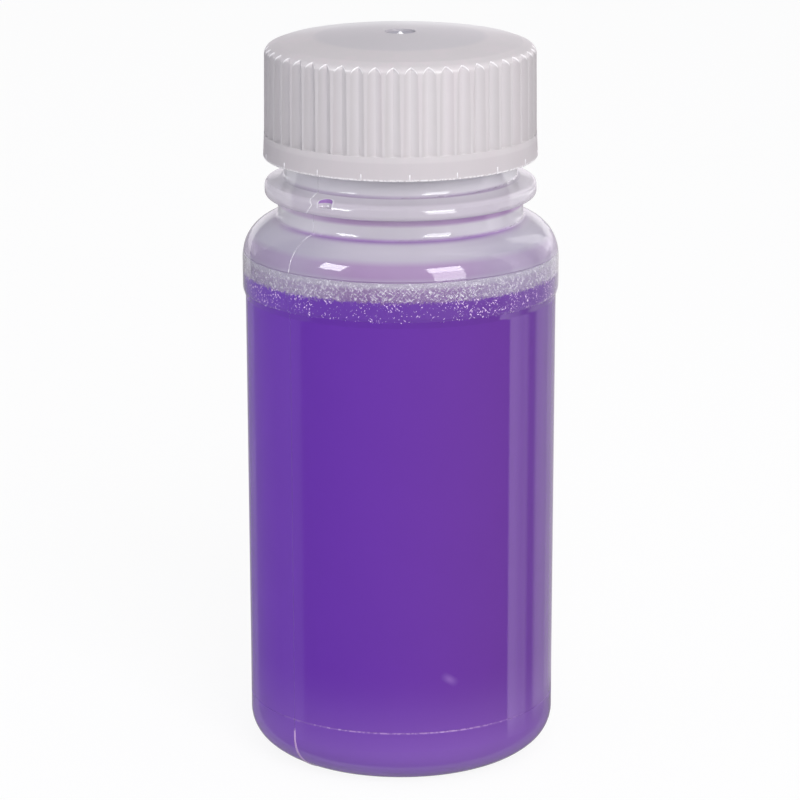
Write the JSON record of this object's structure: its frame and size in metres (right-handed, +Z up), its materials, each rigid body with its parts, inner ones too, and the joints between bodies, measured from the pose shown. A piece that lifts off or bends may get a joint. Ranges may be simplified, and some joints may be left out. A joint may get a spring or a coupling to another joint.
{
  "type": "wide-mouth bottle",
  "caption": "Wide-mouth laboratory bottle of milky plastic with a raised band, a neck ring and a fluted screw cap on a threaded neck, filled with purple liquid.",
  "frame": {"origin": "middle of the base, on the surface that the bottle stands on", "axes": "+Z up along the bottle's axis, -Y towards the side that the picture shows"},
  "size_m": [0.0508, 0.0508, 0.1188],
  "materials": {
    "bottle_plastic": "smooth and milky, translucent",
    "cap_plastic": "milky, translucent",
    "insert_plastic": "soft, milky",
    "liquid": "deep purple, clear surface"
  },
  "bodies": {
    "bottle": {"bottle": "bottle_plastic", "liquid": "liquid"},
    "insert": {"seal_insert": "insert_plastic"},
    "cap": {"cap": "cap_plastic"}
  },
  "joints": [
    {"name": "cap_rise", "type": "slide", "parent": "bottle", "child": "insert", "axis": [0, 0, 1], "range_m": [0, 0.02105]},
    {"name": "cap_turn", "type": "hinge", "parent": "insert", "child": "cap", "pos_m": [0, 0, 0.11], "axis": [0, 0, 1], "range_deg": [0, 1800]}
  ],
  "couplings": [
    {"joint": "cap_rise", "follows": "cap_turn", "m_per_rad": 0.00066845}
  ]
}
